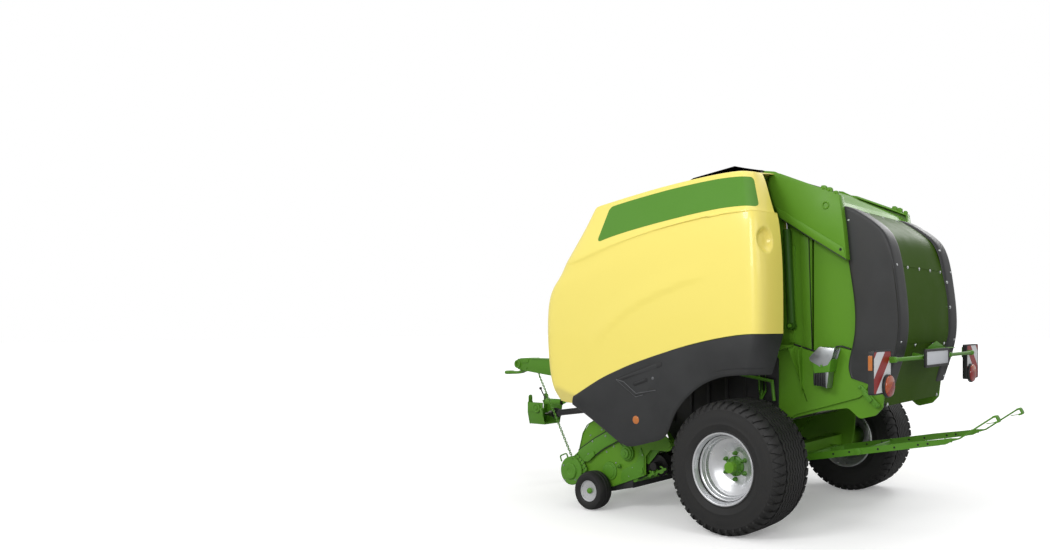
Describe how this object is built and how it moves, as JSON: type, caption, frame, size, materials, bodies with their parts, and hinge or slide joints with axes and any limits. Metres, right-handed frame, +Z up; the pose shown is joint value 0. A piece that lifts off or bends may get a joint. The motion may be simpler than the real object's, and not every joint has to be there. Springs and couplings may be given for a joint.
{
  "type": "round baler",
  "caption": "Towed farm round baler on two wide tyres, with a belt bale chamber, opening tailgate and side hoods, a tined pick-up, a bale ramp and a parking jack.",
  "frame": {"origin": "on the ground, under the middle of the whole machine's length and width", "axes": "+X to the machine's left side, -Y forwards to the hitch, +Y rearwards to the tailgate, +Z up"},
  "size_m": [2.5992, 5.7661, 3.006],
  "materials": {
    "tyre_rubber": "moulded rubber tread",
    "small_tyre": "plain rubber tyre on a silver rim",
    "silver_rim": "silver enamel",
    "green_paint": "satin machinery enamel",
    "gloss_green_panel": "glossy enamel",
    "bare_steel": "bare steel",
    "polished_rod": "chrome plated",
    "belt_rubber": "ribbed fabric rubber",
    "yellow_plastic": "moulded body panel",
    "charcoal_plastic": "grained moulding",
    "zinc_steel": "hot-dip galvanised"
  },
  "bodies": {
    "frame": {"axle": "green_paint", "side_plate_left": "green_paint", "side_plate_right": "green_paint", "front_crossmember": "green_paint", "drawbar": "green_paint", "hitch_eye": "bare_steel", "chamber_wall_left": "green_paint", "chamber_wall_right": "green_paint", "chamber_front": "green_paint", "chamber_rollers": "bare_steel", "chamber_belts": "belt_rubber", "feed_floor": "green_paint", "net_box": "charcoal_plastic", "roof": "charcoal_plastic", "hood_rails": "green_paint", "gearbox": "green_paint", "drive_shaft": "charcoal_plastic", "pto_guard": "green_paint", "pto_bearing": "bare_steel", "jack_sleeve": "green_paint", "ramp_carrier": "green_paint", "chock_holders": "green_paint", "wheel_chocks": "zinc_steel"},
    "tailgate": {"tailgate_side_left": "green_paint", "tailgate_side_right": "green_paint", "tailgate_top_panel": "green_paint", "tailgate_upper_panel": "gloss_green_panel", "tailgate_middle_panel": "gloss_green_panel", "tailgate_lower_panel": "gloss_green_panel", "corner_cover_left": "charcoal_plastic", "corner_cover_right": "charcoal_plastic", "tailgate_rollers": "bare_steel", "tailgate_belts": "belt_rubber", "light_bar": "green_paint", "warning_boards": "charcoal_plastic", "plate_holder": "green_paint"},
    "barrel_left": {"cylinder_barrel_left": "green_paint"},
    "barrel_right": {"cylinder_barrel_right": "green_paint"},
    "rod_left": {"cylinder_rod_left": "polished_rod"},
    "rod_right": {"cylinder_rod_right": "polished_rod"},
    "left_wheel": {"wheel_tyre_left": "tyre_rubber", "wheel_rim_left": "silver_rim"},
    "right_wheel": {"wheel_tyre_right": "tyre_rubber", "wheel_rim_right": "silver_rim"},
    "left_hood": {"hood_left": "yellow_plastic", "hood_skirt_left": "charcoal_plastic"},
    "right_hood": {"hood_right": "yellow_plastic", "hood_skirt_right": "charcoal_plastic"},
    "pickup": {"pickup_side_left": "green_paint", "pickup_side_right": "green_paint", "pickup_frame": "green_paint"},
    "reel": {"pickup_reel": "bare_steel"},
    "crop_press": {"crop_press_arms": "green_paint"},
    "press_roller": {"crop_roller": "green_paint"},
    "left_gauge_wheel": {"gauge_wheel_left": "small_tyre"},
    "right_gauge_wheel": {"gauge_wheel_right": "small_tyre"},
    "rotor": {"feed_rotor": "bare_steel"},
    "ramp": {"bale_ramp": "green_paint"},
    "jack": {"jack_leg": "bare_steel"}
  },
  "joints": [
    {"name": "left_wheel_spin", "type": "hinge", "parent": "frame", "child": "left_wheel", "pos_m": [0, 0.99792, 0.53], "axis": [1, 0, 0], "continuous": true},
    {"name": "right_wheel_spin", "type": "hinge", "parent": "frame", "child": "right_wheel", "pos_m": [0, 0.99792, 0.53], "axis": [1, 0, 0], "continuous": true},
    {"name": "tailgate_hinge", "type": "hinge", "parent": "frame", "child": "tailgate", "pos_m": [0, 1.05792, 2.85], "axis": [1, 0, 0], "range_deg": [0, 60]},
    {"name": "left_hood_hinge", "type": "hinge", "parent": "frame", "child": "left_hood", "pos_m": [0.664, 0.99792, 2.886], "axis": [0, -1, 0], "range_deg": [0, 70]},
    {"name": "right_hood_hinge", "type": "hinge", "parent": "frame", "child": "right_hood", "pos_m": [-0.664, 0.99792, 2.886], "axis": [0, 1, 0], "range_deg": [0, 70]},
    {"name": "pickup_lift", "type": "hinge", "parent": "frame", "child": "pickup", "pos_m": [0, 0.19792, 0.62], "axis": [-1, 0, 0], "range_deg": [0, 12]},
    {"name": "reel_spin", "type": "hinge", "parent": "pickup", "child": "reel", "pos_m": [0, -0.45208, 0.33], "axis": [1, 0, 0], "continuous": true},
    {"name": "crop_press_lift", "type": "hinge", "parent": "pickup", "child": "crop_press", "pos_m": [0, -0.25108, 0.516], "axis": [-1, 0, 0], "range_deg": [0, 10]},
    {"name": "press_roller_spin", "type": "hinge", "parent": "crop_press", "child": "press_roller", "pos_m": [0, -0.90208, 0.306], "axis": [1, 0, 0], "continuous": true},
    {"name": "left_gauge_wheel_spin", "type": "hinge", "parent": "pickup", "child": "left_gauge_wheel", "pos_m": [0, -0.58208, 0.171], "axis": [1, 0, 0], "continuous": true},
    {"name": "right_gauge_wheel_spin", "type": "hinge", "parent": "pickup", "child": "right_gauge_wheel", "pos_m": [0, -0.58208, 0.171], "axis": [1, 0, 0], "continuous": true},
    {"name": "feed_rotor_spin", "type": "hinge", "parent": "frame", "child": "rotor", "pos_m": [0, 0.29792, 0.72], "axis": [1, 0, 0], "continuous": true},
    {"name": "bale_ramp_hinge", "type": "hinge", "parent": "frame", "child": "ramp", "pos_m": [0, 1.14792, 0.5], "axis": [-1, 0, 0], "range_deg": [0, 20]},
    {"name": "jack_slide", "type": "slide", "parent": "frame", "child": "jack", "axis": [0, 0, 1], "range_m": [0, 0.38]},
    {"name": "barrel_left_swing", "type": "hinge", "parent": "frame", "child": "barrel_left", "pos_m": [0.676, 1.25992, 1.64], "axis": [-1, 0, 0], "range_deg": [0, 7]},
    {"name": "rod_left_slide", "type": "slide", "parent": "barrel_left", "child": "rod_left", "axis": [0, -0.0549, 0.9985], "range_m": [0, 0.2205]},
    {"name": "barrel_right_swing", "type": "hinge", "parent": "frame", "child": "barrel_right", "pos_m": [-0.676, 1.25992, 1.64], "axis": [-1, 0, 0], "range_deg": [0, 7]},
    {"name": "rod_right_slide", "type": "slide", "parent": "barrel_right", "child": "rod_right", "axis": [0, -0.0549, 0.9985], "range_m": [0, 0.2205]}
  ],
  "couplings": [
    {"joint": "barrel_left_swing", "follows": "tailgate_hinge", "ratio": 0.115},
    {"joint": "rod_left_slide", "follows": "tailgate_hinge", "m_per_rad": 0.21},
    {"joint": "barrel_right_swing", "follows": "tailgate_hinge", "ratio": 0.115},
    {"joint": "rod_right_slide", "follows": "tailgate_hinge", "m_per_rad": 0.21}
  ]
}
